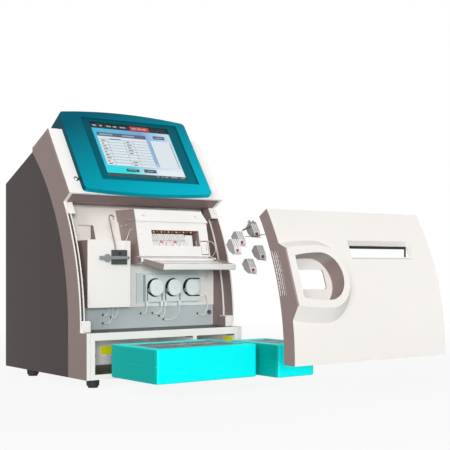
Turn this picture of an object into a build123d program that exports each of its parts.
"""Bench blood gas analyzer, drawn apart: casing, open front compartment with its sampler,
measuring module and roller pumps, two reagent packs, loose sensors and the taken-off cover.

The frame has +X to the right, +Y to the back and +Z up, in millimetres. Its origin is the
middle of the underside of the base tray, which the four feet hold above the bench.
"""

import os
from math import cos, radians, sin, sqrt, tan

from build123d import *

os.makedirs("parts", exist_ok=True)

# Casing
body_width = 400.0
body_depth = 386.0
base_height = 96.0
tray_thickness = 4.0
cheek_thickness = 8.0
panel_thickness = 4.0
sheet = 3.0
seam = 0.3
left, right = -body_width / 2, body_width / 2
front, back = -body_depth / 2, body_depth / 2
inner_left = left + cheek_thickness + seam
inner_right = -inner_left

# Front edge of the casing: upright, then leaning back along one large arc
lip_setback = 28.0
curve_start = 105.0
curve_radius = 520.0
cheek_band = 51.5
cheek_flange = 60.0
cheek_flange_top = 400.0
rebate_thickness = 3.5
rebate_depth = 34.0
soffit_height = 370.0

# Head with the display
head_lip_setback = 73.0
head_lip_height = 388.0
face_length = 176.0
face_tilt = 34.0
roof_tilt = 25.7
head_wall = 4.0
roof_end_setback = 247.0
side_panel_back_height = 426.0
side_panel_roof_tilt = 24.2

# Display housing, measured along the slanted face
display_width = 333.0
display_bottom = 5.0
display_top = 217.0
display_bow = 12.0
display_bottom_bow = 8.0
display_corner = 9.0
display_height = 12.0
display_depth = 38.0
recess_left, recess_right = -116.0, 140.0
recess_bottom, recess_top = 32.0, 208.0
recess_depth = 3.0
screen_width = 209.0
screen_height = 155.0
screen_x = 9.0
screen_bottom = 45.0
screen_lip = 2.0
panel_border = 7.0
glass_thickness = 1.6
lcd_thickness = 4.6

# Base with two bays for the reagent packs
base_depth = 180.0
bay_depth = 176.0
bay_bottom, bay_top = 10.8, base_height - 15.6
wide_bay_width = 246.5
narrow_bay_width = 106.0
bay_side = 11.2
base_lip = 1.8
latch_width = 13.0
latch_setback = 2.0
latch_depth = 12.0
latch_drop = 2.4
latch_height = 6.5
probe_radius = 2.2
wide_probe_length, narrow_probe_length = 8.0, 18.0

# Feet
foot_height = 17.0
foot_radius = 14.0
sole_radius = 10.5
foot_recess = 2.0
foot_taper = 4.0
foot_from_side = 25.0
front_foot_y, back_foot_y = 19.0, 295.0
sole_height = 4.0

# Compartment: ledge, fluidics panel and the inner panel above it
ledge_thickness = 2.5
fluidics_y = 99.0
fluidics_top = base_height + 47.0
inner_panel_y = 97.0
inner_panel_top = soffit_height - seam
inner_bend_height = 220.0
inner_lean = 0.344
fluid_tube_radius = 1.1
tube_sides = 8
drop_share, bow_share = 0.42, 0.4
tube_lead = 5.0
tube_holes = [
    (191.3, base_height + 32.0),
    (222.5, base_height + 31.6),
    (240.5, base_height + 25.0),
    (252.2, base_height + 16.8),
    (346.8, base_height + 27.4),
]
waste_holes = [(95.0, base_height + 31.6), (95.0, base_height + 13.2), (115.0, base_height + 25.6)]
waste_starts = [(106.0, 90.0), (110.0, 82.0), (128.0, 90.0)]
drain_radius = 5.5
drain_from_left, drain_up = 379.6, 29.7
drain_rim = 2.0

# Lining strips at the two sides of the opening
trim_width = 3.0
trim_depth = 12.0
trim_block_width, trim_top_block_width = 16.7, 12.7
trim_block_depth = 24.0
bottom_block_height, top_block_height = 24.0, 25.0
trim_lug = 12.0
trim_corner = 5.0

# Sampler housing at the left of the compartment
sampler_left, sampler_right = 27.0, 133.0
sampler_front = 45.0
sampler_bottom, sampler_top = base_height + 50.0, 288.0
sampler_wall = 2.5
pocket_left, pocket_right = 51.0, 90.0
pocket_bottom, pocket_top = 292.0, 323.0
pocket_depth = 22.0
port_left, port_right = 84.0, 120.5
port_bottom, port_top = 237.0, 268.0
port_depth = 5.0
port_hole_radius = 3.2
port_rim = 1.2
port_rim_height = 0.6
port_hole_down = 7.6
sample_tube_radius = 1.6
sample_tube_top = 341.0
sample_tube_from_left = 93.0
sample_tube_lean = 16.5
sample_tube_hook = 12.0
sample_tube_drop = 10.0
sample_tube_front = 2.4
sample_seat = 5.0
lever_x, lever_z = 70.0, 251.0
lever_length = 52.0
lever_height = 7.6
lever_thickness = 4.6
lever_gap = 1.2
lever_disc_radius = 8.2
lever_ball_radius = 4.6
lever_ball_distance = 14.5
pivot_radius = 2.5
run_gap = 0.05

# Measuring module
module_left, module_right = 155.0, 345.0
module_bottom, module_top = 255.0, 332.0
module_front = 45.0
module_slope = 0.2208
frame_thickness = 12.0
cap_top = 358.0
window_left, window_right = 193.0, 320.0
window_bottom, window_top = 278.0, 313.0
cavity_depth = 40.0
bracket_bottom = 238.0
bracket_front = 52.0
hinge_y, hinge_z = 35.0, 247.0
hinge_radius = 2.0
barrel_radius = 4.6
door_length = 86.0
door_slope = 10.8
door_rim = 7.0
ear_width = 5.0
catch_left, catch_right = 322.0, 343.0
catch_bottom, catch_top = 259.0, 291.0
catch_pin_z = 264.5
cap_lip = 4.0
cap_overhang = 2.0
cap_end_lean = 15.0
cap_studs = (176.0, 316.0)
stud_radius = 3.2
feed_hole = (368.0, 226.0)

# Sensors, each a wedge with a pull tab
sensor_width = 17.0
sensor_pitch = 18.4
sensor_count = 5
sensor_tab = 13.0

# Roller pumps
pump_pitch = 48.5
pump_first_x = 219.0
pump_count = 3
pump_z = 185.5
pump_plate_front = 83.0
pump_plate_bottom, pump_plate_top = 153.6, 214.0
pump_plate_left, pump_plate_right = 195.0, 345.0
pump_flange_left = 178.0
pump_flange_thickness = 2.0
pump_bore = 20.9
pump_disc_radius = 18.5
pump_disc_thickness = 4.0
pump_disc_front = 73.0
roller_radius = 4.2
roller_ring = 13.2
roller_count = 3
hose_radius = 1.5
hose_ring = pump_bore - hose_radius
hose_y = 86.5
nipple_radius = 3.2
nipple_length = 10.0
shaft_radius = 2.5
motor_radius = 18.0
motor_length = 40.0

# Reagent packs
pack_gap = 0.6
pack_height = 66.0
wide_pack_width = 243.0
wide_pack_length = 170.0
wide_pack_out = 227.0
narrow_pack_width = 100.0
narrow_pack_length = 160.0
narrow_pack_out = 273.0
pack_corner = 9.0
pack_parting = 0.3
probe_recess = 11.0
label_inset = 20.0
label_depth = 1.2

# Front cover and where it stands, taken off, beside its place on the casing
cover_right_of_seat, cover_front_of_seat, cover_below_seat = 161.0, 456.5, 41.0
cover_bottom, cover_top = 97.4, 380.0
cover_depth = 30.0
cover_top_slope = 13.5
cover_wall = 3.0
collar_x, collar_z = 80.0, 257.0
collar_radius = 60.0
collar_bore = 48.0
collar_straight_x = 16.0
collar_edge_x = 2.0
collar_drop = 6.0
collar_tilt = 19.0
collar_height = 15.0
collar_taper = 42.0
cup_depth = 34.0
cup_wall = 2.4
hole_left, hole_right = 38.0, 110.0
hole_bottom, hole_top = 232.0, 268.0
slot_left, slot_right = 172.0, 345.0
slot_bottom, slot_top = 291.0, 312.0
slot_lip = 14.0
slot_sill = 3.5
slot_frame_depth = 10.0
slot_frame_border = 8.0
louvre_bottom, louvre_top = 222.0, 302.0
louvre_front, louvre_back = -21.0, -4.0
louvre_columns, louvre_rows = 3, 9
louvre_thickness = 1.4
louvre_rise = 7.0
louvre_plate = 1.2
louvre_lap = 1.5


def x_at(distance):
    """X of a point given by its distance from the left side of the casing."""
    return left + distance


def y_at(distance):
    """Y of a point given by its distance behind the front of the base."""
    return front + distance


def facing(y):
    """Upright plane seen from the front, with X to the right and Z up."""
    return Plane.XZ.offset(-y)


def beside(x):
    """Upright plane across the width, with Y and Z as its axes."""
    return Plane.YZ.offset(x)


def casing_y(z, shift=0.0):
    """Y of the casing's front edge at a height, moved back by a shift."""
    start = y_at(lip_setback) + shift
    if z <= curve_start:
        return start
    return start + curve_radius - sqrt(curve_radius**2 - (z - curve_start) ** 2)


def casing_z(y, shift=0.0):
    """Height at which the casing's front edge passes a given Y."""
    reach = curve_radius - (y - y_at(lip_setback) - shift)
    return curve_start + sqrt(curve_radius**2 - reach**2)


def inner_panel_front(z):
    """Y of the inner panel's front at a height."""
    return y_at(inner_panel_y) + max(0.0, z - inner_bend_height) * inner_lean


def module_face(z):
    """Y of the measuring module's front frame at a height."""
    return y_at(module_front) + (z - module_bottom) * module_slope


def face_point(up, out=0.0):
    """Y and Z of a point on the head's slanted face, raised off it by out."""
    angle = radians(face_tilt)
    y = y_at(head_lip_setback) + up * sin(angle) - out * cos(angle)
    z = head_lip_height + up * cos(angle) + out * sin(angle)
    return y, z


def roof_z(y, drop=0.0):
    """Height of the head's sloping roof."""
    top_y, top_z = face_point(face_length)
    return top_z - (y - top_y) * tan(radians(roof_tilt)) - drop


def under_roof(inset, drop):
    """Where the face moved in by inset meets the roof moved down by drop."""
    angle, slope = radians(face_tilt), tan(radians(roof_tilt))
    y0, z0 = face_point(0.0, -inset)
    up = (roof_z(y0, drop) - z0) / (cos(angle) + slope * sin(angle))
    return y0 + up * sin(angle), z0 + up * cos(angle)


def soffit_point(inset):
    """Y and Z on the underside of the head, a distance in from its face."""
    y0, z0 = face_point(0.0)
    y1, z1 = casing_y(soffit_height), soffit_height
    length = sqrt((y1 - y0) ** 2 + (z1 - z0) ** 2)
    return y0 + (y1 - y0) * inset / length, z0 + (z1 - z0) * inset / length


def side_roof_z(y):
    """Height of the side panels' sloping top edge."""
    return side_panel_back_height + (back - y) * tan(radians(side_panel_roof_tilt))


def face_plane(out=0.0):
    """Plane on the head's slanted face, X to the right and Y up the slope."""
    angle = radians(face_tilt)
    y, z = face_point(0.0, out)
    return Plane(origin=(0, y, z), x_dir=(1, 0, 0), z_dir=(0, -cos(angle), sin(angle)))


hinge_y_at = y_at(hinge_y)
catch_pin_y = module_face(catch_pin_z) + 5.0


def casing_line(shift, z0, z1):
    """Front edge of the casing between two heights, moved back by a shift."""
    if z0 < curve_start:
        Line((casing_y(z0, shift), z0), (casing_y(z0, shift), min(curve_start, z1)))
    if z1 > curve_start:
        low = max(z0, curve_start)
        middle = (low + z1) / 2
        ThreePointArc(
            (casing_y(low, shift), low),
            (casing_y(middle, shift), middle),
            (casing_y(z1, shift), z1),
        )


def band(x0, x1, shift0, shift1, z0, z1, z1_back=None, mode=Mode.ADD, offsets=(0, 0, 0)):
    """Strip that follows the casing's front edge, between two shifts and two heights."""
    z_back = z1 if z1_back is None else z1_back
    place = Plane(
        origin=(x0 + offsets[0], offsets[1], offsets[2]), x_dir=(0, 1, 0), z_dir=(1, 0, 0)
    )
    with BuildSketch(place) as outline:
        with BuildLine():
            casing_line(shift0, z0, z1)
            Line((casing_y(z1, shift0), z1), (casing_y(z_back, shift1), z_back))
            casing_line(shift1, z0, z_back)
            Line((casing_y(z0, shift1), z0), (casing_y(z0, shift0), z0))
        make_face()
    extrude(outline.sketch, amount=x1 - x0, mode=mode)


def across(points, x0, x1, mode=Mode.ADD):
    """Side outline carried across the width from x0 to x1."""
    with BuildSketch(beside(x0)) as outline:
        with BuildLine():
            Polyline(*points, close=True)
        make_face()
    extrude(outline.sketch, amount=x1 - x0, mode=mode)


def block(x0, x1, y0, y1, z0, z1, mode=Mode.ADD):
    """Plain block between two corners."""
    with BuildSketch(Plane.XY.offset(z0)) as outline:
        with Locations(((x0 + x1) / 2, (y0 + y1) / 2)):
            Rectangle(x1 - x0, y1 - y0)
    extrude(outline.sketch, amount=z1 - z0, mode=mode)


def rod(start, end, radius, mode=Mode.ADD):
    """Round bar from one point to another."""
    run = Vector(*end) - Vector(*start)
    with BuildSketch(Plane(origin=start, z_dir=run.normalized())) as outline:
        Circle(radius)
    extrude(outline.sketch, amount=run.length, mode=mode)


def tube(points, radius):
    """Bent tube, eight-sided: straight runs joined by arcs as large as the runs allow."""
    legs = [Vector(*b) - Vector(*a) for a, b in zip(points, points[1:])]
    bends = []
    for before, after in zip(legs, legs[1:]):
        half_turn = radians(before.get_angle(after)) / 2
        bends.append(0.45 * min(before.length, after.length) / tan(half_turn))
    with BuildLine() as route:
        FilletPolyline(*points, radius=bends)
    with BuildSketch(Plane(origin=points[0], z_dir=legs[0].normalized())) as outline:
        RegularPolygon(radius, tube_sides)
    sweep(outline.sketch, path=route.wires()[0])


def finish_part(builder, name):
    """Labels a finished piece and writes its file."""
    builder.part.label = name
    export_step(builder.part, f"parts/{name}.step")


# Casing cheeks: the curved front bands of the two sides. An inner flange runs on behind the
# dark side panel, which laps over it. Inside, the front is thinned by a long rebate.
head_inset = head_wall + seam
roof_drop = head_inset / cos(radians(roof_tilt))
roof_end_y = y_at(roof_end_setback)
band_top = casing_z(roof_end_y, cheek_band)
bottom_block_top = base_height + bottom_block_height
top_block_bottom = soffit_height - top_block_height
rebate_bottom, rebate_top = bottom_block_top - trim_lug, top_block_bottom + trim_lug

with BuildPart() as left_cheek:
    with BuildSketch(beside(left)):
        with BuildLine():
            Polyline((front, 0), (front, base_height), (casing_y(base_height), base_height))
            casing_line(0, base_height, soffit_height)
            Polyline(
                (casing_y(soffit_height), soffit_height),
                soffit_point(head_inset),
                under_roof(head_inset, roof_drop),
                (roof_end_y, roof_z(roof_end_y, roof_drop)),
                (roof_end_y, band_top),
            )
            casing_line(cheek_band, 0, band_top)
            Line((casing_y(0, cheek_band), 0), (front, 0))
        make_face()
    extrude(amount=cheek_thickness)
    band(
        left + panel_thickness + seam,
        left + cheek_thickness,
        cheek_band / 2,
        cheek_band + cheek_flange,
        tray_thickness + seam,
        cheek_flange_top,
    )
    band(
        left + rebate_thickness,
        left + cheek_thickness,
        -1,
        rebate_depth + seam,
        rebate_bottom,
        rebate_top,
        mode=Mode.SUBTRACT,
    )
finish_part(left_cheek, "left_cheek")

with BuildPart() as right_cheek:
    mirror(left_cheek.part, about=Plane.YZ)
finish_part(right_cheek, "right_cheek")

# Side panels: plain dark sheets from the cheek's back edge to the back of the casing.
with BuildPart() as left_side_panel:
    with BuildSketch(beside(left)):
        with BuildLine():
            panel_band = cheek_band + 2 * seam
            panel_top = casing_z(roof_end_y, panel_band)
            casing_line(panel_band, 0, panel_top)
            Polyline(
                (roof_end_y, panel_top),
                (roof_end_y, side_roof_z(roof_end_y)),
                (back, side_panel_back_height),
                (back, 0),
                (casing_y(0, panel_band), 0),
            )
        make_face()
    extrude(amount=panel_thickness)
finish_part(left_side_panel, "left_side_panel")

with BuildPart() as right_side_panel:
    mirror(left_side_panel.part, about=Plane.YZ)
finish_part(right_side_panel, "right_side_panel")

# Base tray with a round recess over each foot.
tray_front = y_at(base_lip + 1.4)
tray_back = back - panel_thickness - seam
foot_places = [
    (side * (right - foot_from_side), y_at(y)) for side in (-1, 1) for y in (front_foot_y, back_foot_y)
]
with BuildPart() as base_tray:
    block(inner_left, inner_right, tray_front, tray_back, 0, tray_thickness)
    with BuildSketch(Plane.XY):
        with Locations(*foot_places):
            Circle(foot_radius + 2 * seam)
    extrude(amount=foot_recess, mode=Mode.SUBTRACT)
finish_part(base_tray, "base_tray")

with BuildPart() as feet:
    with BuildSketch(Plane.XY.offset(foot_recess)):
        with Locations(*foot_places):
            Circle(foot_radius)
    extrude(amount=-foot_recess - foot_height + sole_height, taper=foot_taper)
    with BuildSketch(Plane.XY.offset(sole_height - foot_height)):
        with Locations(*foot_places):
            Circle(sole_radius)
    extrude(amount=-sole_height)
finish_part(feet, "feet")

# Base frame: one moulding with the two pack bays. Probes stand on the bays' back walls.
base_left, base_right = inner_left, inner_right
wide_bay_left = base_left + bay_side
wide_bay_right = wide_bay_left + wide_bay_width
narrow_bay_right = base_right - bay_side
narrow_bay_left = narrow_bay_right - narrow_bay_width
bays = [(wide_bay_left, wide_bay_right), (narrow_bay_left, narrow_bay_right)]
base_top = base_height - ledge_thickness
probe_z = bay_bottom + 20.0
wide_probes = [wide_bay_left + wide_bay_width * share for share in (0.2, 0.4, 0.6, 0.8)]
narrow_probes = [narrow_bay_left + narrow_bay_width * share for share in (0.3, 0.7)]

with BuildPart() as base_frame:
    across(
        [
            (front, 0),
            (tray_front - seam, 0),
            (tray_front - seam, tray_thickness + seam),
            (y_at(base_depth), tray_thickness + seam),
            (y_at(base_depth), base_top),
            (y_at(base_lip), base_top),
            (y_at(base_lip), base_height),
            (front, base_height),
        ],
        base_left,
        base_right,
    )
    for bay_left, bay_right in bays:
        block(bay_left, bay_right, front, y_at(bay_depth), bay_bottom, bay_top, Mode.SUBTRACT)
        block(
            bay_right - latch_width - 2 * seam,
            bay_right,
            y_at(latch_setback),
            y_at(latch_setback + latch_depth) + seam,
            bay_top,
            bay_top - latch_drop + latch_height + seam,
            Mode.SUBTRACT,
        )
    for probes, length in ((wide_probes, wide_probe_length), (narrow_probes, narrow_probe_length)):
        with BuildSketch(facing(y_at(bay_depth))):
            with Locations(*[(x, probe_z) for x in probes]):
                Circle(probe_radius)
        extrude(amount=length)
finish_part(base_frame, "base_frame")

# Pack latches: dark catches let into the top of each bay at its right end.
with BuildPart() as pack_latches:
    for bay_left, bay_right in bays:
        latch_low = bay_top - latch_drop
        block(
            bay_right - latch_width - seam,
            bay_right - seam,
            y_at(latch_setback) + seam,
            y_at(latch_setback + latch_depth),
            latch_low,
            latch_low + latch_height,
        )
finish_part(pack_latches, "pack_latches")

# Ledge over the base, the grey fluidics panel behind it and the cream inner panel above.
fluidics_front = y_at(fluidics_y)
with BuildPart() as ledge:
    block(
        inner_left,
        inner_right,
        y_at(base_lip) + seam,
        fluidics_front - seam,
        base_top + seam / 3,
        base_height,
    )
finish_part(ledge, "ledge")

pump_centres = [x_at(pump_first_x + i * pump_pitch) for i in range(pump_count)]
drain_place = (x_at(drain_from_left), base_height + drain_up)

with BuildPart() as fluidics_panel:
    block(
        inner_left,
        inner_right,
        fluidics_front,
        fluidics_front + sheet,
        base_top + seam,
        fluidics_top,
    )
    with BuildSketch(facing(fluidics_front)):
        with Locations(*[(x_at(x), z) for x, z in tube_holes + waste_holes]):
            Circle(fluid_tube_radius)
    extrude(amount=-sheet, mode=Mode.SUBTRACT)
    with BuildSketch(facing(fluidics_front)):
        with Locations(drain_place):
            Circle(drain_radius)
    extrude(amount=drain_rim)
    with BuildSketch(facing(fluidics_front - drain_rim)):
        with Locations(drain_place):
            Circle(drain_radius - drain_rim)
    extrude(amount=-drain_rim - sheet, mode=Mode.SUBTRACT)
finish_part(fluidics_panel, "fluidics_panel")

panel_bottom_y = inner_panel_front(fluidics_top)
panel_top_y = inner_panel_front(inner_panel_top)
with BuildPart() as inner_panel:
    across(
        [
            (panel_bottom_y, fluidics_top + seam),
            (panel_bottom_y, inner_bend_height),
            (panel_top_y, inner_panel_top),
            (panel_top_y + sheet, inner_panel_top),
            (panel_bottom_y + sheet, inner_bend_height),
            (panel_bottom_y + sheet, fluidics_top + seam),
        ],
        inner_left,
        inner_right,
    )
    pocket_back = inner_panel_front(pocket_bottom) + pocket_depth
    across(
        [
            (inner_panel_front(pocket_bottom - sheet) + sheet / 2, pocket_bottom - sheet),
            (inner_panel_front(pocket_top + sheet) + sheet / 2, pocket_top + sheet),
            (pocket_back + sheet, pocket_top + sheet),
            (pocket_back + sheet, pocket_bottom - sheet),
        ],
        x_at(pocket_left) - sheet,
        x_at(pocket_right) + sheet,
    )
    block(
        x_at(pocket_left),
        x_at(pocket_right),
        panel_bottom_y,
        pocket_back,
        pocket_bottom,
        pocket_top,
        Mode.SUBTRACT,
    )
    with BuildSketch(facing(panel_bottom_y)):
        with Locations(*[(x, pump_z) for x in pump_centres]):
            Circle(shaft_radius + 1.5)
    extrude(amount=-sheet, mode=Mode.SUBTRACT)
    with BuildSketch(facing(inner_panel_front(feed_hole[1]))):
        with Locations((x_at(feed_hole[0]), feed_hole[1])):
            Circle(fluid_tube_radius)
    extrude(amount=2 * sheet, both=True, mode=Mode.SUBTRACT)
finish_part(inner_panel, "inner_panel")

# Lining strips of the opening's two sides, drawn for the left: a block at the bottom and one at
# the top, each with a lug in the cheek's rebate. The left strip stands at the cheek's front edge
# and the right one, which is mirrored, against the rebate's step.
rebate_left = left + rebate_thickness + seam
strips = {
    "left_trim": (inner_left, inner_left + trim_width, 0, trim_depth),
    "right_trim": (rebate_left, inner_left, rebate_depth - sheet, rebate_depth),
}
for trim_name, strip in strips.items():
    with BuildPart() as trim_form:
        band(
            inner_left,
            inner_left + trim_block_width,
            0,
            trim_block_depth,
            base_height + seam,
            bottom_block_top,
        )
        block_corner = trim_form.edges().filter_by(Axis.Y).group_by(Axis.Z)[-1].sort_by(Axis.X)[-1]
        fillet(block_corner, trim_corner)
        band(
            inner_left,
            inner_left + trim_top_block_width,
            0,
            trim_block_depth,
            top_block_bottom,
            soffit_height - 2 * seam,
        )
        for lug_bottom in (rebate_bottom + seam, top_block_bottom):
            band(rebate_left, inner_left, 0, rebate_depth, lug_bottom, lug_bottom + trim_lug - seam)
        band(*strip, rebate_bottom + seam, rebate_top - seam)
    with BuildPart() as trim:
        if trim_name == "left_trim":
            add(trim_form.part)
        else:
            mirror(trim_form.part, about=Plane.YZ)
    finish_part(trim, trim_name)

# Head housing: white face and roof in one shell that laps over the cheeks' edges.
head_outline = [
    face_point(0.0),
    face_point(face_length),
    (roof_end_y, roof_z(roof_end_y)),
    (roof_end_y, roof_z(roof_end_y, roof_drop - seam)),
    under_roof(head_wall, head_wall / cos(radians(roof_tilt))),
    soffit_point(head_wall),
]
cable_slot_width, cable_slot_height = 60.0, 14.0
with BuildPart() as head_housing:
    across(head_outline, left, right)
    with BuildSketch(face_plane()):
        with Locations((screen_x, screen_bottom + screen_height / 2)):
            SlotOverall(cable_slot_width, cable_slot_height)
    extrude(amount=-head_wall, mode=Mode.SUBTRACT)
    lock_x, lock_up, lock_radius = x_at(27.7), 38.4, 6.0
    with BuildSketch(face_plane()):
        with Locations((lock_x, lock_up)):
            Circle(lock_radius)
    extrude(amount=-1.5, mode=Mode.SUBTRACT)
finish_part(head_housing, "head_housing")

# Soffit: the grey underside from the lip back to the inner panel's top.
soffit_back_y = panel_top_y + sheet + 8
with BuildPart() as head_soffit:
    across(
        [
            soffit_point(head_inset),
            (casing_y(soffit_height), soffit_height),
            (soffit_back_y, soffit_height),
            (soffit_back_y, soffit_height + sheet),
            (casing_y(soffit_height) + 1, soffit_height + sheet),
            (soffit_point(head_inset)[0] + 2.5, soffit_point(head_inset)[1] + 2),
        ],
        inner_left,
        inner_right,
    )
finish_part(head_soffit, "head_soffit")

# Top cover between the side panels, and the back panel below it.
with BuildPart() as top_cover:
    cover_front_y = roof_end_y + seam
    across(
        [
            (cover_front_y, side_roof_z(cover_front_y)),
            (back, side_panel_back_height),
            (back, side_panel_back_height - panel_thickness),
            (cover_front_y, side_roof_z(cover_front_y) - panel_thickness),
        ],
        left + panel_thickness + seam,
        right - panel_thickness - seam,
    )
    with BuildSketch(beside(left + panel_thickness + seam)) as upstand:
        with BuildLine():
            Polyline(
                (cover_front_y, side_roof_z(cover_front_y)),
                (cover_front_y, roof_z(cover_front_y) - 1),
                (cover_front_y + 3, roof_z(cover_front_y) - 2),
                (cover_front_y + 3, side_roof_z(cover_front_y + 3)),
                close=True,
            )
        make_face()
    extrude(upstand.sketch, amount=2 * (right - panel_thickness - seam))
finish_part(top_cover, "top_cover")

back_panel_top = side_panel_back_height - panel_thickness - seam
back_left, back_right = left + panel_thickness + seam, right - panel_thickness - seam
fan_x, fan_z, fan_size, fan_depth = -110.0, 300.0, 80.0, 25.0
inlet_x, inlet_z, inlet_width, inlet_height = 130.0, 60.0, 28.0, 48.0
switch_z, switch_width, switch_height = 110.0, 20.0, 28.0
port_row_x, port_row_z, port_row_pitch = 40.0, 330.0, 26.0
vent_pitch, vent_length, vent_width = 9.0, 60.0, 4.0
with BuildPart() as back_panel:
    block(back_left, back_right, back - panel_thickness, back, 0, back_panel_top)
    with BuildSketch(Plane.XZ.offset(-back)):
        with Locations((fan_x, fan_z)):
            Circle(fan_size / 2 - 4)
            Circle(fan_size / 2 - 11, mode=Mode.SUBTRACT)
            Circle(fan_size / 2 - 18)
            Circle(fan_size / 2 - 25, mode=Mode.SUBTRACT)
            Rectangle(fan_size, 5, rotation=45, mode=Mode.SUBTRACT)
            Rectangle(fan_size, 5, rotation=-45, mode=Mode.SUBTRACT)
    extrude(amount=panel_thickness, mode=Mode.SUBTRACT)
    with BuildSketch(Plane.XZ.offset(-back)):
        with Locations((inlet_x, inlet_z)):
            Rectangle(inlet_width, inlet_height)
        with Locations((inlet_x, switch_z)):
            Rectangle(switch_width, switch_height)
        with Locations((port_row_x, port_row_z)):
            with GridLocations(port_row_pitch, 1, 3, 1):
                Rectangle(15, 7)
        with Locations((100, 200)):
            with GridLocations(vent_length + 12, vent_pitch, 2, 9):
                SlotOverall(vent_length, vent_width)
    extrude(amount=panel_thickness, mode=Mode.SUBTRACT)
finish_part(back_panel, "back_panel")

# Power inlet and rocker switch, set into the back panel.
with BuildPart() as power_inlet:
    block(
        inlet_x - inlet_width / 2 + seam,
        inlet_x + inlet_width / 2 - seam,
        back - 22,
        back,
        inlet_z - inlet_height / 2 + seam,
        inlet_z + inlet_height / 2 - seam,
    )
    with BuildSketch(Plane.XZ.offset(-back)):
        with Locations((inlet_x, inlet_z)):
            Rectangle(17, 24)
    extrude(amount=17, mode=Mode.SUBTRACT)
    with BuildSketch(Plane.XZ.offset(-back + 17)):
        with Locations((inlet_x, inlet_z - 5), (inlet_x - 3, inlet_z + 5), (inlet_x + 3, inlet_z + 5)):
            Rectangle(1.6, 4)
    extrude(amount=-14)
finish_part(power_inlet, "power_inlet")

rocker_axis_y = back - 3.5
with BuildPart() as switch_frame:
    block(
        inlet_x - switch_width / 2 + seam,
        inlet_x + switch_width / 2 - seam,
        back - 16,
        back + 1,
        switch_z - switch_height / 2 + seam,
        switch_z + switch_height / 2 - seam,
    )
    block(
        inlet_x - switch_width / 2 + 2.5,
        inlet_x + switch_width / 2 - 2.5,
        back - 13,
        back + 1,
        switch_z - switch_height / 2 + 2.5,
        switch_z + switch_height / 2 - 2.5,
        Mode.SUBTRACT,
    )
    rod(
        (inlet_x - switch_width / 2 + 1, rocker_axis_y, switch_z),
        (inlet_x + switch_width / 2 - 1, rocker_axis_y, switch_z),
        1.0,
    )
finish_part(switch_frame, "switch_frame")

with BuildPart() as power_switch:
    across(
        [
            (back - 8, switch_z - 8.5),
            (back + 0.5, switch_z - 10.3),
            (back + 0.0, switch_z),
            (back + 3.5, switch_z + 9.8),
            (back - 8, switch_z + 8.5),
        ],
        inlet_x - switch_width / 2 + 2.9,
        inlet_x + switch_width / 2 - 2.9,
    )
    rod(
        (inlet_x - switch_width / 2, rocker_axis_y, switch_z),
        (inlet_x + switch_width / 2, rocker_axis_y, switch_z),
        1.0 + run_gap,
        Mode.SUBTRACT,
    )
finish_part(power_switch, "power_switch")

# Display housing: teal surround whose top and bottom edges are shallow arcs, standing off the
# head's face and running back over its roof. The screen's panel and glass sit in its back.
half_display = display_width / 2
screen_middle = screen_bottom + screen_height / 2
with BuildPart() as display_housing:
    with BuildSketch(face_plane(-display_depth)) as surround:
        with BuildLine():
            Line((-half_display, display_bottom), (-half_display, display_top))
            ThreePointArc(
                (-half_display, display_top), (0, display_top + display_bow), (half_display, display_top)
            )
            Line((half_display, display_top), (half_display, display_bottom))
            ThreePointArc(
                (half_display, display_bottom),
                (0, display_bottom - display_bottom_bow),
                (-half_display, display_bottom),
            )
        make_face()
        fillet(surround.vertices(), display_corner)
    extrude(amount=display_depth + display_height)
    across(
        [
            face_point(-60.0),
            face_point(face_length),
            (roof_end_y, roof_z(roof_end_y)),
            (roof_end_y, head_lip_height),
        ],
        left,
        right,
        Mode.SUBTRACT,
    )
    with BuildSketch(face_plane(display_height)):
        with BuildLine():
            Polyline(
                (recess_left, recess_bottom),
                (recess_left, recess_top),
                (recess_right, recess_top),
                (recess_right, recess_bottom),
                close=True,
            )
        make_face()
    extrude(amount=-recess_depth, taper=40, mode=Mode.SUBTRACT)
    with BuildSketch(face_plane()):
        with Locations((screen_x, screen_middle)):
            Rectangle(screen_width, screen_height)
    extrude(amount=display_height, mode=Mode.SUBTRACT)
    lip_top = display_height - recess_depth - screen_lip
    with BuildSketch(face_plane()):
        with Locations((screen_x, screen_middle)):
            Rectangle(screen_width + 2 * panel_border, screen_height + 2 * panel_border)
    extrude(amount=lip_top, mode=Mode.SUBTRACT)
finish_part(display_housing, "display_housing")

with BuildPart() as touch_glass:
    with BuildSketch(face_plane(lip_top - seam / 3)):
        with Locations((screen_x, screen_middle)):
            Rectangle(screen_width + 2 * panel_border - 1, screen_height + 2 * panel_border - 1)
    extrude(amount=-glass_thickness)
finish_part(touch_glass, "touch_glass")

with BuildPart() as display_panel:
    with BuildSketch(face_plane(seam / 3)):
        with Locations((screen_x, screen_middle)):
            Rectangle(screen_width + 2 * panel_border - 1, screen_height + 2 * panel_border - 1)
    extrude(amount=lcd_thickness)
finish_part(display_panel, "display_panel")

# Inside the casing: power supply on the tray, main board on the back panel, fan behind its grille.
supply_left, supply_right = -20.0, 100.0
supply_front, supply_back = y_at(base_depth) + 12, back - 50
supply_height = 62.0
with BuildPart() as power_supply:
    block(supply_left, supply_right, supply_front, supply_back, tray_thickness, tray_thickness + supply_height)
    with BuildSketch(Plane.XY.offset(tray_thickness + supply_height)):
        with Locations(((supply_left + supply_right) / 2, (supply_front + supply_back) / 2)):
            with GridLocations(14, 1, 7, 1):
                SlotOverall(90, 6, rotation=90)
    extrude(amount=-3, mode=Mode.SUBTRACT)
    with BuildSketch(beside(supply_right)):
        with Locations((supply_back - 20, tray_thickness + supply_height / 2)):
            Rectangle(24, 40)
    extrude(amount=8)
finish_part(power_supply, "power_supply")

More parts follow.
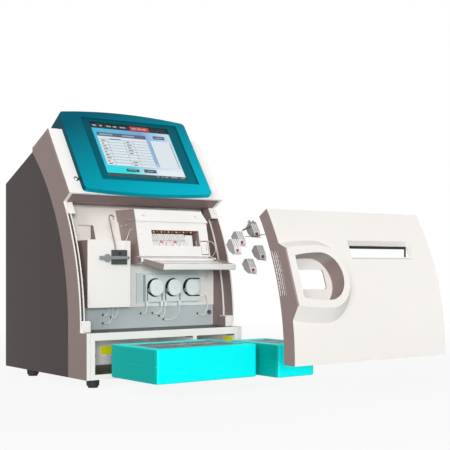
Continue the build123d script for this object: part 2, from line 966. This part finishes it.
standoff_height = 12.0
board_thickness = 1.6
board_left, board_right = -25.0, 175.0
board_bottom, board_top = 246.0, 390.0
board_back = back - panel_thickness - standoff_height
board_middle = ((board_left + board_right) / 2, (board_bottom + board_top) / 2)
with BuildPart() as main_board:
    block(board_left, board_right, board_back - board_thickness, board_back, board_bottom, board_top)
    with BuildSketch(facing(board_back)):
        with Locations(board_middle):
            with GridLocations(board_right - board_left - 14, board_top - board_bottom - 14, 2, 2):
                Circle(3.5)
    extrude(amount=-standoff_height)
    with BuildSketch(facing(board_back)):
        with Locations((port_row_x, port_row_z)):
            with GridLocations(port_row_pitch, 1, 3, 1):
                Rectangle(14, 6)
    extrude(amount=-standoff_height - panel_thickness)
    with BuildSketch(facing(board_back - board_thickness)):
        with Locations((board_middle[0] + 20, board_middle[1] + 8)):
            Rectangle(40, 40)
        with Locations((board_middle[0] - 45, board_middle[1] + 30)):
            with GridLocations(22, 30, 2, 2):
                Rectangle(14, 22)
        with Locations((board_middle[0], board_bottom + 10)):
            with GridLocations(30, 1, 6, 1):
                Rectangle(22, 8)
    extrude(amount=6)
finish_part(main_board, "main_board")

with BuildPart() as cooling_fan:
    fan_plane = facing(back - panel_thickness - fan_depth)
    with BuildSketch(fan_plane):
        with Locations((fan_x, fan_z)):
            RectangleRounded(fan_size, fan_size, 5)
            Circle(fan_size / 2 - 2.5, mode=Mode.SUBTRACT)
            with GridLocations(fan_size - 9, fan_size - 9, 2, 2):
                Circle(2.2, mode=Mode.SUBTRACT)
    extrude(amount=-fan_depth)
    with BuildSketch(fan_plane):
        with Locations((fan_x, fan_z)):
            Rectangle(fan_size - 4, 4, rotation=45)
            Rectangle(fan_size - 4, 4, rotation=-45)
            Circle(15)
    extrude(amount=-3)
    with BuildSketch(fan_plane.offset(-3)):
        with Locations((fan_x, fan_z)):
            Circle(3)
    extrude(amount=-15)
finish_part(cooling_fan, "cooling_fan")

fan_blades = 7
with BuildPart() as fan_rotor:
    rotor_plane = facing(back - panel_thickness - fan_depth + 4)
    with BuildSketch(rotor_plane):
        with Locations((fan_x, fan_z)):
            Circle(15)
    extrude(amount=-17)
    with BuildSketch(rotor_plane.offset(-2)):
        with Locations((fan_x, fan_z)):
            with PolarLocations(0, fan_blades):
                with Locations((25, 0)):
                    Rectangle(22, 2.4)
    extrude(amount=-14)
    with BuildSketch(rotor_plane):
        with Locations((fan_x, fan_z)):
            Circle(3 + run_gap)
    extrude(amount=-15, mode=Mode.SUBTRACT)
finish_part(fan_rotor, "fan_rotor")

# Sampler: a hollow housing hung on the inner panel, its port block, sample tube and lever. The
# lever turns on a pin of the housing that ends inside it.
lever_back = y_at(sampler_front) - port_depth - lever_gap
lever_front = lever_back - lever_thickness
pivot_front = lever_front + lever_thickness / 3
with BuildPart() as sampler_housing:
    across(
        [
            (y_at(sampler_front), sampler_bottom),
            (y_at(sampler_front), sampler_top),
            (inner_panel_front(sampler_top), sampler_top),
            (y_at(inner_panel_y), inner_bend_height),
            (y_at(inner_panel_y), sampler_bottom),
        ],
        x_at(sampler_left),
        x_at(sampler_right),
    )
    upright_edges = sampler_housing.edges().filter_by(Axis.Z).sort_by(Axis.Y)[0:2]
    fillet(upright_edges, 2)
    across(
        [
            (y_at(sampler_front) + sampler_wall, sampler_bottom + sampler_wall),
            (y_at(sampler_front) + sampler_wall, sampler_top - sampler_wall),
            (inner_panel_front(sampler_top - sampler_wall), sampler_top - sampler_wall),
            (y_at(inner_panel_y), inner_bend_height),
            (y_at(inner_panel_y), sampler_bottom + sampler_wall),
        ],
        x_at(sampler_left) + sampler_wall,
        x_at(sampler_right) - sampler_wall,
        Mode.SUBTRACT,
    )
    rod(
        (x_at(lever_x), y_at(sampler_front) + sampler_wall, lever_z),
        (x_at(lever_x), pivot_front, lever_z),
        pivot_radius,
    )
    with BuildSketch(Plane.XY.offset(sampler_bottom)):
        with Locations(*[(x_at(x), y_at(y)) for x, y in waste_starts]):
            Circle(fluid_tube_radius)
    extrude(amount=sampler_wall, mode=Mode.SUBTRACT)
finish_part(sampler_housing, "sampler_housing")

sample_tube_x = x_at(sample_tube_from_left)
sample_tube_y = y_at(sampler_front) - sample_tube_front
with BuildPart() as port_block:
    block(
        x_at(port_left),
        x_at(port_right),
        y_at(sampler_front) - port_depth,
        y_at(sampler_front),
        port_bottom,
        port_top,
    )
    port_middle = (x_at((port_left + port_right) / 2), port_top - port_hole_down)
    with BuildSketch(facing(y_at(sampler_front) - port_depth)):
        with Locations(port_middle):
            Circle(port_hole_radius + port_rim)
    extrude(amount=port_rim_height)
    with BuildSketch(facing(y_at(sampler_front) - port_depth - port_rim_height)):
        with Locations(port_middle):
            Circle(port_hole_radius)
    extrude(amount=-port_depth, mode=Mode.SUBTRACT)
    rod(
        (sample_tube_x, sample_tube_y, port_top),
        (sample_tube_x, sample_tube_y, port_top - sample_seat),
        sample_tube_radius,
        Mode.SUBTRACT,
    )
finish_part(port_block, "port_block")

crook_x = sample_tube_x - sample_tube_lean
hook_x = crook_x + sample_tube_hook
with BuildPart() as sample_tube:
    tube(
        [
            (sample_tube_x, sample_tube_y, port_top - sample_seat),
            (sample_tube_x, sample_tube_y, port_top + sample_seat),
            (crook_x, sample_tube_y, sample_tube_top),
            (hook_x, sample_tube_y, sample_tube_top),
            (hook_x, sample_tube_y, sample_tube_top - sample_tube_drop),
        ],
        sample_tube_radius,
    )
finish_part(sample_tube, "sample_tube")

with BuildPart() as sampler_lever:
    with BuildSketch(facing(lever_back)):
        with Locations((x_at(lever_x), lever_z)):
            Circle(lever_disc_radius)
            with Locations((-lever_ball_distance, 0)):
                Circle(lever_ball_radius)
            with Locations((-lever_ball_distance / 2, 0)):
                Rectangle(lever_ball_distance, lever_ball_radius)
        with BuildLine():
            Polyline(
                (x_at(lever_x), lever_z - lever_height / 2),
                (x_at(lever_x), lever_z + lever_height / 2),
                (x_at(lever_x) + lever_length, lever_z + lever_height / 2),
                (x_at(lever_x) + lever_length + lever_height / 3, lever_z + lever_height / 8),
                (x_at(lever_x) + lever_length, lever_z - lever_height / 3),
                close=True,
            )
        make_face()
    extrude(amount=lever_thickness)
    chamfer(sampler_lever.faces().sort_by(Axis.Y)[0].edges(), lever_thickness / 6)
    rod(
        (x_at(lever_x), lever_back, lever_z),
        (x_at(lever_x), pivot_front - run_gap, lever_z),
        pivot_radius + run_gap,
        Mode.SUBTRACT,
    )
finish_part(sampler_lever, "sampler_lever")

# Measuring module: body on its bracket, front frame, cap, contact strip and seated sensors.
def module_points(z0, z1, out0, out1):
    """Side outline of a slab that follows the module's slanted front."""
    return [
        (module_face(z0) + out0, z0),
        (module_face(z1) + out0, z1),
        (module_face(z1) + out1, z1),
        (module_face(z0) + out1, z0),
    ]


ear_inner_left, ear_inner_right = x_at(module_left) - 0.5, x_at(module_right) + 0.5
bracket_back = inner_panel_front(bracket_bottom)
with BuildPart() as module_body:
    across(
        [
            (module_face(module_bottom) + frame_thickness, module_bottom),
            (module_face(module_top) + frame_thickness, module_top),
            (inner_panel_front(module_top), module_top),
            (inner_panel_front(module_bottom), module_bottom),
        ],
        x_at(module_left),
        x_at(module_right),
    )
    across(
        [
            (y_at(bracket_front), bracket_bottom),
            (y_at(bracket_front), module_bottom),
            (inner_panel_front(module_bottom), module_bottom),
            (bracket_back, bracket_bottom),
        ],
        ear_inner_left - ear_width,
        ear_inner_right + ear_width,
    )
    across(
        module_points(window_bottom, window_top, frame_thickness, frame_thickness + cavity_depth),
        x_at(window_left) - 3,
        x_at(window_right) + 3,
        Mode.SUBTRACT,
    )
    across(
        module_points(catch_bottom, catch_top, frame_thickness, frame_thickness + 8),
        x_at(catch_left),
        x_at(catch_right),
        Mode.SUBTRACT,
    )
    for ear in (ear_inner_left - ear_width, ear_inner_right):
        across(
            [
                (hinge_y_at - barrel_radius, hinge_z - barrel_radius),
                (hinge_y_at - barrel_radius, hinge_z + barrel_radius),
                (y_at(bracket_front), module_bottom),
                (y_at(bracket_front), bracket_bottom),
            ],
            ear,
            ear + ear_width,
        )
    rod(
        (ear_inner_left - ear_width, hinge_y_at, hinge_z),
        (ear_inner_right + ear_width, hinge_y_at, hinge_z),
        hinge_radius,
        Mode.SUBTRACT,
    )
finish_part(module_body, "module_body")

with BuildPart() as module_frame:
    across(
        module_points(module_bottom, module_top, 0, frame_thickness),
        x_at(module_left),
        x_at(module_right),
    )
    across(
        module_points(window_bottom, window_top, -1, frame_thickness + 1),
        x_at(window_left),
        x_at(window_right),
        Mode.SUBTRACT,
    )
    across(
        module_points(catch_bottom, catch_top, -1, frame_thickness + 1),
        x_at(catch_left),
        x_at(catch_right),
        Mode.SUBTRACT,
    )
    across(
        module_points(module_bottom + 1.5, module_top - 2, -0.4, 0),
        x_at(module_left) + 1.5,
        x_at(module_left) + 24,
    )
    rod(
        (x_at(catch_left) - 0.5, catch_pin_y, catch_pin_z),
        (x_at(catch_right) + 0.5, catch_pin_y, catch_pin_z),
        1.5,
    )
finish_part(module_frame, "module_frame")

with BuildPart() as module_latch:
    across(
        module_points(catch_bottom + 1.5, catch_top - 2, 0.6, 4.6),
        x_at(catch_left) + 1,
        x_at(catch_right) - 1,
    )
    rod(
        (x_at(catch_left) + 1, catch_pin_y, catch_pin_z),
        (x_at(catch_right) - 1, catch_pin_y, catch_pin_z),
        3.0,
    )
    rod(
        (x_at(catch_left), catch_pin_y, catch_pin_z),
        (x_at(catch_right), catch_pin_y, catch_pin_z),
        1.5 + run_gap,
        Mode.SUBTRACT,
    )
    across(
        module_points(catch_bottom + 9, catch_top - 8, -1, 2.2),
        x_at(catch_left) + 5,
        x_at(catch_right) - 5,
        Mode.SUBTRACT,
    )
finish_part(module_latch, "module_latch")

cap_right = x_at(module_right) + cap_overhang
stud_z = (cap_top + module_top) / 2
with BuildPart() as module_cap:
    across(
        [
            (module_face(module_top) - cap_lip, module_top),
            (module_face(cap_top) - cap_lip / 2, cap_top),
            (inner_panel_front(cap_top), cap_top),
            (inner_panel_front(module_top), module_top),
        ],
        x_at(module_left) - cap_overhang,
        cap_right,
    )
    with BuildSketch(facing(y_at(module_front))):
        with BuildLine():
            Polyline(
                (cap_right, module_top),
                (cap_right, cap_top),
                (cap_right - cap_end_lean, cap_top),
                close=True,
            )
        make_face()
    extrude(amount=-body_depth, mode=Mode.SUBTRACT)
    for stud_x in cap_studs:
        rod(
            (x_at(stud_x), module_face(stud_z), stud_z),
            (x_at(stud_x), module_face(stud_z) - cap_lip - 1, stud_z),
            stud_radius,
        )
finish_part(module_cap, "module_cap")

contact_pitch = 10.0
contact_front = frame_thickness + 6.0
with BuildPart() as contact_board:
    across(
        module_points(window_top - 6, window_top, contact_front + 3, contact_front + 12),
        x_at(window_left) - 3,
        x_at(window_right) + 3,
    )
    for i in range(12):
        across(
            module_points(window_top - 5, window_top - 1, contact_front - 3, contact_front + 3),
            x_at(window_left) + 2 + i * contact_pitch,
            x_at(window_left) + 8 + i * contact_pitch,
        )
finish_part(contact_board, "contact_board")

with BuildPart() as seated_sensors:
    for i in range(sensor_count):
        sensor_left = x_at(window_left) + 0.7 + i * sensor_pitch
        sensor_right = sensor_left + sensor_width
        across(
            [
                (module_face(window_bottom) + 4, window_bottom),
                (module_face(window_bottom) + 3, window_bottom + 6),
                (module_face(window_top - 12) + 10, window_top - 8),
                (module_face(window_top - 8) + contact_front + 24, window_top - 8),
                (module_face(window_bottom) + contact_front + 24, window_bottom),
            ],
            sensor_left,
            sensor_right,
        )
        rod(
            ((sensor_left + sensor_right) / 2 + 3, module_face(window_bottom) + 8, window_bottom + 4.5),
            ((sensor_left + sensor_right) / 2 + 3, module_face(window_bottom) + 1.2, window_bottom + 4.5),
            3.0,
        )
    spacer_left = x_at(window_left) + 0.7 + sensor_count * sensor_pitch
    across(
        [
            (module_face(window_bottom) + 8, window_bottom),
            (module_face(window_top - 14) + 8, window_top - 10),
            (module_face(window_top - 10) + contact_front + 24, window_top - 10),
            (module_face(window_bottom) + contact_front + 24, window_bottom),
        ],
        spacer_left,
        spacer_left + 20,
    )
finish_part(seated_sensors, "seated_sensors")

# Flap door under the module: it hangs open on its hinge pin and swings up over the frame.
with BuildPart() as hinge_pin:
    rod(
        (ear_inner_left - ear_width - 1, hinge_y_at, hinge_z),
        (ear_inner_right + ear_width + 1, hinge_y_at, hinge_z),
        hinge_radius,
    )
finish_part(hinge_pin, "hinge_pin")

slope = radians(door_slope)


def door_point(along, up):
    """Y and Z of a point on the open door, along it from the hinge and up off its middle."""
    y = hinge_y_at - along * cos(slope) - up * sin(slope)
    z = hinge_z - along * sin(slope) + up * cos(slope)
    return y, z


door_low, door_floor = -6.0, -1.0
with BuildPart() as module_door:
    across(
        [
            door_point(0, door_low),
            door_point(door_length - 2, door_low),
            door_point(door_length, door_low + 2),
            door_point(door_length, door_rim - 1.5),
            door_point(door_length - 1.5, door_rim),
            door_point(door_length - 6, door_rim),
            door_point(door_length - 7.5, door_floor),
            door_point(0, door_floor),
        ],
        x_at(module_left),
        x_at(module_right),
    )
    for side_left in (x_at(module_left), x_at(module_right) - 3):
        across(
            [
                door_point(6, door_floor),
                door_point(door_length - 5, door_floor),
                door_point(door_length - 5, door_rim - 0.5),
                door_point(12, 4),
                door_point(6, 3),
            ],
            side_left,
            side_left + 3,
        )
    for along in (22, 34, 46, 58, 70):
        across(
            [
                door_point(along, door_floor),
                door_point(along + 3, door_floor),
                door_point(along + 3, door_floor + 2.2),
                door_point(along, door_floor + 2.2),
            ],
            x_at(module_left) + 3,
            x_at(module_right) - 3,
        )
    rod(
        (x_at(module_left), hinge_y_at, hinge_z),
        (x_at(module_right), hinge_y_at, hinge_z),
        barrel_radius,
    )
    rod(
        (x_at(module_left), hinge_y_at, hinge_z),
        (x_at(module_right), hinge_y_at, hinge_z),
        hinge_radius + run_gap,
        Mode.SUBTRACT,
    )
finish_part(module_door, "module_door")

# Roller pumps. The plate carries three open pump heads. Two let their hoses out at the bottom
# edge and the third at the right edge.
pump_turns = [0, 0, 90]
hose_seat = 2.0


def pump_place(centre, turn, y):
    """Upright plane at a pump's middle, turned about the pump's shaft."""
    angle = radians(turn)
    return Plane(origin=(centre, y, pump_z), x_dir=(cos(angle), 0, sin(angle)), z_dir=(0, -1, 0))


def port_reach(turn):
    """Distance from a pump's middle to the plate's edge where its hose comes out."""
    return pump_z - pump_plate_bottom if turn == 0 else x_at(pump_plate_right) - pump_centres[-1]


with BuildPart() as pump_plate:
    block(
        x_at(pump_flange_left),
        x_at(pump_plate_right),
        y_at(inner_panel_y) - pump_flange_thickness,
        y_at(inner_panel_y),
        pump_plate_bottom - 3.6,
        pump_plate_top + 4,
    )
    block(
        x_at(pump_plate_left),
        x_at(pump_plate_right),
        y_at(pump_plate_front),
        y_at(inner_panel_y),
        pump_plate_bottom,
        pump_plate_top,
    )
    for centre, turn in zip(pump_centres, pump_turns):
        reach = port_reach(turn)
        with BuildSketch(pump_place(centre, turn, y_at(pump_plate_front))):
            Circle(pump_bore)
        extrude(amount=-10, mode=Mode.SUBTRACT)
        with BuildSketch(pump_place(centre, turn, y_at(pump_plate_front))):
            Circle(shaft_radius + 1.5)
        extrude(amount=y_at(pump_plate_front) - y_at(inner_panel_y), mode=Mode.SUBTRACT)
        with BuildSketch(pump_place(centre, turn, y_at(hose_y))):
            for side in (-1, 1):
                with Locations((side * hose_ring, -(reach + nipple_length / 2 - hose_seat / 2))):
                    Rectangle(2 * nipple_radius, nipple_length + hose_seat)
        extrude(amount=nipple_radius, both=True)
        with BuildSketch(pump_place(centre, turn, y_at(pump_plate_front))):
            for side in (-1, 1):
                with Locations((side * hose_ring, -(reach - hose_seat) / 2)):
                    Rectangle(2 * hose_radius, reach - hose_seat)
        extrude(amount=-(hose_y - pump_plate_front) - hose_radius, mode=Mode.SUBTRACT)
finish_part(pump_plate, "pump_plate")

roller_front = pump_disc_front + pump_disc_thickness
back_disc_y = 89.5
for number, centre in enumerate(pump_centres, 1):
    with BuildPart() as pump_rotor:
        with BuildSketch(pump_place(centre, 0, y_at(pump_disc_front))):
            Circle(pump_disc_radius)
        extrude(amount=-pump_disc_thickness)
        chamfer(pump_rotor.faces().sort_by(Axis.Y)[0].edges(), 1)
        with BuildSketch(pump_place(centre, 0, y_at(roller_front))):
            Circle(6)
            with PolarLocations(roller_ring, roller_count, start_angle=90):
                Circle(1.5)
        extrude(amount=-(back_disc_y - roller_front))
        with BuildSketch(pump_place(centre, 0, y_at(roller_front + 0.4))):
            with PolarLocations(roller_ring, roller_count, start_angle=90):
                Circle(roller_radius)
        extrude(amount=-(back_disc_y - roller_front - 0.7))
        with BuildSketch(pump_place(centre, 0, y_at(back_disc_y))):
            Circle(17)
        extrude(amount=-3)
        with BuildSketch(pump_place(centre, 0, y_at(back_disc_y + 3))):
            Circle(shaft_radius)
        extrude(amount=-(inner_panel_y + sheet + 10 - back_disc_y - 3))
    finish_part(pump_rotor, f"pump_rotor_{number}")

motor_front = inner_panel_y + sheet
with BuildPart() as pump_motors:
    for centre in pump_centres:
        with BuildSketch(pump_place(centre, 0, y_at(motor_front))):
            Circle(motor_radius)
        extrude(amount=-motor_length)
        with BuildSketch(pump_place(centre, 0, y_at(motor_front + motor_length))):
            Circle(motor_radius - 5)
        extrude(amount=-5)
        with BuildSketch(pump_place(centre, 0, y_at(motor_front))):
            Circle(shaft_radius + run_gap)
        extrude(amount=-12, mode=Mode.SUBTRACT)
finish_part(pump_motors, "pump_motors")

with BuildPart() as pump_hoses:
    for centre, turn in zip(pump_centres, pump_turns):
        reach = port_reach(turn) - hose_seat
        place = pump_place(centre, turn, y_at(hose_y))
        with BuildLine(place) as hose_path:
            Line((-hose_ring, -reach), (-hose_ring, 0))
            ThreePointArc((-hose_ring, 0), (0, hose_ring), (hose_ring, 0))
            Line((hose_ring, 0), (hose_ring, -reach))
        start = hose_path.wires()[0] @ 0
        heading = hose_path.wires()[0] % 0
        with BuildSketch(Plane(origin=start, z_dir=heading)) as hose_outline:
            RegularPolygon(hose_radius, tube_sides)
        sweep(hose_outline.sketch, path=hose_path.wires()[0])
finish_part(pump_hoses, "pump_hoses")

# Thin tubes from the pumps and the sampler to the fluidics panel, and the sensors' wires.
nipple_z = pump_plate_bottom - nipple_length
nipple_x = x_at(pump_plate_right) + nipple_length
hose_at = y_at(hose_y)
panel_inside = fluidics_front + sheet


def hang(x0, y0, z0, x1, z1):
    """Path of a tube that drops from a port and bows sideways into a hole in the panel."""
    return [
        (x0, y0, z0),
        (x0, y0, z1 + (z0 - z1) * drop_share),
        (x1 + (x0 - x1) * bow_share, y0, z1 - fluid_tube_radius),
        (x1, fluidics_front - tube_lead, z1),
        (x1, panel_inside, z1),
    ]


pump_ports = [centre + side * hose_ring for centre in pump_centres[:2] for side in (-1, 1)]
with BuildPart() as fluid_tubes:
    for port_x, (hole_x, hole_z) in zip(pump_ports, tube_holes):
        tube(hang(port_x, hose_at, nipple_z, x_at(hole_x), hole_z), fluid_tube_radius)
    hole_x, hole_z = tube_holes[-1]
    tube(
        [
            (nipple_x, hose_at, pump_z - hose_ring),
            (nipple_x + 8, hose_at, pump_z - hose_ring),
            (nipple_x + 12, hose_at - 2, pump_z - hose_ring - 22),
            (x_at(hole_x) + 6, hose_at - 4, hole_z - 5),
            (x_at(hole_x), fluidics_front - 5, hole_z),
            (x_at(hole_x), panel_inside, hole_z),
        ],
        fluid_tube_radius,
    )
    tube(
        [
            (nipple_x, hose_at, pump_z + hose_ring),
            (nipple_x + 8, hose_at, pump_z + hose_ring),
            (nipple_x + 14, hose_at - 1, pump_z + hose_ring + 12),
            (x_at(feed_hole[0]), hose_at, feed_hole[1]),
            (x_at(feed_hole[0]), y_at(inner_panel_y) + sheet, feed_hole[1]),
        ],
        fluid_tube_radius,
    )
finish_part(fluid_tubes, "fluid_tubes")

with BuildPart() as waste_tubes:
    for (port_x, port_y), (hole_x, hole_z) in zip(waste_starts, waste_holes):
        tube(
            hang(x_at(port_x), y_at(port_y), sampler_bottom + sampler_wall, x_at(hole_x), hole_z),
            fluid_tube_radius,
        )
finish_part(waste_tubes, "waste_tubes")

# Reagent packs, each a tray and a lid that part at half height.
half_pack = pack_height / 2
pack_bottom = bay_bottom + pack_gap
packs = [
    ("wide_pack", wide_bay_left, wide_pack_width, wide_pack_length, wide_pack_out, wide_probes),
    ("narrow_pack", narrow_bay_left, narrow_pack_width, narrow_pack_length, narrow_pack_out, narrow_probes),
]
for pack_name, bay_left, width, length, out, probes in packs:
    bay_width = wide_bay_width if bay_left == wide_bay_left else narrow_bay_width
    middle = (bay_left + bay_width / 2, y_at(-out) + length / 2)
    with BuildPart() as pack_tray:
        with BuildSketch(Plane.XY.offset(pack_bottom)):
            with Locations(middle):
                RectangleRounded(width, length, pack_corner)
        extrude(amount=half_pack)
        fillet(pack_tray.faces().sort_by(Axis.Z)[0].edges(), 3)
        chamfer(pack_tray.faces().sort_by(Axis.Z)[-1].edges(), pack_parting)
        with BuildSketch(facing(y_at(-out) + length)):
            with Locations(*[(x, probe_z) for x in probes]):
                Circle(probe_radius + 2)
        extrude(amount=probe_recess, mode=Mode.SUBTRACT)
    finish_part(pack_tray, f"{pack_name}_tray")
    with BuildPart() as pack_lid:
        with BuildSketch(Plane.XY.offset(pack_bottom + half_pack)):
            with Locations(middle):
                RectangleRounded(width, length, pack_corner)
        extrude(amount=half_pack)
        fillet(pack_lid.faces().sort_by(Axis.Z)[-1].edges(), 4)
        chamfer(pack_lid.faces().sort_by(Axis.Z)[0].edges(), pack_parting)
        with BuildSketch(Plane.XY.offset(pack_bottom + pack_height)):
            with Locations(middle):
                RectangleRounded(width - 2 * label_inset, length - 2 * label_inset, 4)
        extrude(amount=-label_depth, mode=Mode.SUBTRACT)
    finish_part(pack_lid, f"{pack_name}_lid")

# Front cover, drawn in its place on the casing and then moved to where it stands.
apart = (cover_right_of_seat, -cover_front_of_seat, -cover_below_seat)
cover_back_top = cover_top - cover_top_slope
tilt = radians(collar_tilt)
collar_origin = (x_at(collar_x), casing_y(collar_z, -cover_depth) - collar_height, collar_z)
collar_plane = Plane(origin=collar_origin, x_dir=(1, 0, 0), z_dir=(0, -cos(tilt), sin(tilt)))
collar_reach = collar_height + cover_depth / 2


def port_line(radius, edge_x):
    """Port outline: round at the right, drawn out in shallow arcs to a straight left side."""
    reach = edge_x - collar_x
    side_height = radius - collar_drop
    ThreePointArc((0, -radius), (radius, 0), (0, radius))
    TangentArc((0, radius), (reach, side_height), tangent=(-1, 0))
    Line((reach, side_height), (reach, -side_height))
    TangentArc((0, -radius), (reach, -side_height), tangent=(-1, 0))


with BuildPart() as collar_form:
    with BuildSketch(collar_plane):
        with BuildLine():
            port_line(collar_radius, collar_edge_x)
        make_face()
    extrude(amount=-collar_reach, taper=-collar_taper)
    block(left, right, 2 * front, back, 0, cover_top, Mode.INTERSECT)

with BuildPart() as collar_hollow:
    with BuildSketch(collar_plane.offset(-cover_wall)):
        with BuildLine():
            port_line(collar_radius - cover_wall / 2, collar_edge_x + cover_wall)
        make_face()
    extrude(amount=-collar_reach, taper=-collar_taper)
    block(left + cover_wall, right, 2 * front, back, 0, cover_top, Mode.INTERSECT)

with BuildPart() as cover_form:
    band(left, right, -cover_depth, -2 * seam, cover_bottom, cover_top, cover_back_top)
    add(collar_form.part)
    band(
        left + cover_wall,
        right - cover_wall,
        cover_wall - cover_depth,
        cover_wall,
        cover_bottom + cover_wall,
        cover_top - cover_wall,
        cover_back_top - cover_wall,
        mode=Mode.SUBTRACT,
    )
    add(collar_hollow.part, mode=Mode.SUBTRACT)
    with BuildSketch(collar_plane):
        with BuildLine():
            port_line(collar_bore, collar_straight_x)
        make_face()
    extrude(amount=-collar_reach - cover_depth, mode=Mode.SUBTRACT)
    block(
        x_at(slot_left),
        x_at(slot_right),
        casing_y(slot_bottom, -cover_depth) - cover_wall,
        casing_y(slot_top + slot_lip),
        slot_bottom - slot_sill,
        slot_top + slot_lip,
        Mode.SUBTRACT,
    )
    band(
        left,
        left + cover_wall,
        louvre_front,
        louvre_back,
        louvre_bottom,
        louvre_top,
        mode=Mode.SUBTRACT,
    )

with BuildPart() as cover_shell:
    with Locations(apart):
        add(cover_form.part)
finish_part(cover_shell, "cover_shell")

hole_middle = (x_at((hole_left + hole_right) / 2) , (hole_bottom + hole_top) / 2)
with BuildPart() as cup_form:
    with BuildSketch(collar_plane):
        with BuildLine():
            port_line(collar_bore, collar_straight_x)
        make_face()
    extrude(amount=-cup_depth - cup_wall)
    with BuildSketch(collar_plane):
        with BuildLine():
            port_line(collar_bore - cup_wall, collar_straight_x + cup_wall)
        make_face()
    extrude(amount=-cup_depth, mode=Mode.SUBTRACT)
    with BuildSketch(facing(2 * front)):
        with Locations(hole_middle):
            RectangleRounded(hole_right - hole_left, hole_top - hole_bottom, 6)
    extrude(amount=-2 * body_depth, mode=Mode.SUBTRACT)

with BuildPart() as cover_port_cup:
    with Locations(apart):
        add(cup_form.part)
finish_part(cover_port_cup, "cover_port_cup")

frame_back = cover_wall + slot_frame_depth - cover_depth
with BuildPart() as slot_form:
    band(
        x_at(slot_left),
        x_at(slot_right),
        -cover_depth,
        frame_back,
        slot_bottom - slot_sill,
        slot_top + slot_lip,
    )
    band(
        x_at(slot_left) - slot_frame_border,
        x_at(slot_right) + slot_frame_border,
        cover_wall - cover_depth,
        cover_wall + 2 - cover_depth,
        slot_bottom - slot_sill - slot_frame_border,
        slot_top + slot_lip + slot_frame_border,
    )
    across(
        [
            (casing_y(slot_bottom, -cover_depth) - 2, slot_bottom - slot_sill + 0.6),
            (casing_y(slot_bottom, frame_back), slot_bottom),
            (casing_y(slot_bottom, frame_back) + 20, slot_bottom),
            (casing_y(slot_top, frame_back) + 20, slot_top),
            (casing_y(slot_top, frame_back), slot_top),
            (casing_y(slot_top + slot_lip, -cover_depth) - 2, slot_top + slot_lip - 0.6),
        ],
        x_at(slot_left) + 1.5,
        x_at(slot_right) - 1.5,
        Mode.SUBTRACT,
    )

with BuildPart() as cover_window_frame:
    with Locations(apart):
        add(slot_form.part)
finish_part(cover_window_frame, "cover_window_frame")

# Side grille of the cover: uprights that follow its curve, with steep slats between them, on a
# plate behind the opening.
louvre_left = left + sheet / 4
column_pitch = (louvre_back - louvre_front - louvre_thickness - 2 * seam) / louvre_columns
row_pitch = (louvre_top - louvre_bottom - louvre_rise - 2 * louvre_thickness) / louvre_rows
with BuildPart() as louvre_form:
    band(
        left + cover_wall,
        left + cover_wall + louvre_plate,
        louvre_front - louvre_lap,
        louvre_back + louvre_lap,
        louvre_bottom - louvre_lap,
        louvre_top + louvre_lap,
    )
    for column in range(louvre_columns + 1):
        upright = louvre_front + seam + column * column_pitch
        band(
            louvre_left,
            left + cover_wall,
            upright,
            upright + louvre_thickness,
            louvre_bottom + seam,
            louvre_top - seam,
        )
    for column in range(louvre_columns):
        slat_front = louvre_front + seam + column * column_pitch + louvre_thickness / 2
        slat_back = slat_front + column_pitch
        for row in range(louvre_rows):
            foot_z = louvre_bottom + seam + row * row_pitch
            tip_z = foot_z + louvre_rise
            across(
                [
                    (casing_y(foot_z, slat_front), foot_z),
                    (casing_y(tip_z, slat_back), tip_z),
                    (casing_y(tip_z, slat_back), tip_z + 2 * louvre_thickness),
                    (casing_y(foot_z, slat_front), foot_z + 2 * louvre_thickness),
                ],
                louvre_left,
                left + cover_wall,
            )

with BuildPart() as cover_louvres:
    with Locations(apart):
        add(louvre_form.part)
finish_part(cover_louvres, "cover_louvres")

# Five loose sensors taken out of the module, each a wedge with a pull tab and a round window.
sensor_outline = [(-13, -13), (-9, -1), (0, 14), (8, 13), (16, 3), (8, -9), (-6, -17)]
sensor_places = [
    (306.7, -160.0, 310.2),
    (268.2, -160.0, 291.7),
    (210.2, -220.0, 273.6),
    (298.5, -190.0, 262.7),
    (273.4, -190.0, 234.9),
]
for number, (sensor_x, sensor_y, sensor_z) in enumerate(sensor_places, 1):
    x0 = x_at(sensor_x) - sensor_width / 2
    x1 = x0 + sensor_width
    y0 = y_at(sensor_y)
    with BuildPart() as loose_sensor:
        across([(y0 + y, sensor_z + z) for y, z in sensor_outline], x0, x1)
        fillet(loose_sensor.edges().filter_by(Axis.X), 1)
        across(
            [
                (y0 - 7, sensor_z - 16.5),
                (y0 - 6, sensor_z - 15),
                (y0 - 6 - sensor_tab, sensor_z - 16.5),
                (y0 - 6 - sensor_tab, sensor_z - 18),
            ],
            x0 + 4,
            x1 - 4,
        )
        rod((x0 + 6, y0 - 14.5, sensor_z - 9.5), (x0 + 6, y0 - 8, sensor_z - 8), 3.2)
        for rib_x in (x0 + 3, x0 + 8, x0 + 13):
            across(
                [
                    (y0 - 10.5, sensor_z - 2),
                    (y0 - 1.5, sensor_z + 14),
                    (y0 + 1, sensor_z + 13),
                    (y0 - 8, sensor_z - 3),
                ],
                rib_x,
                rib_x + 1.4,
            )
    finish_part(loose_sensor, f"loose_sensor_{number}")
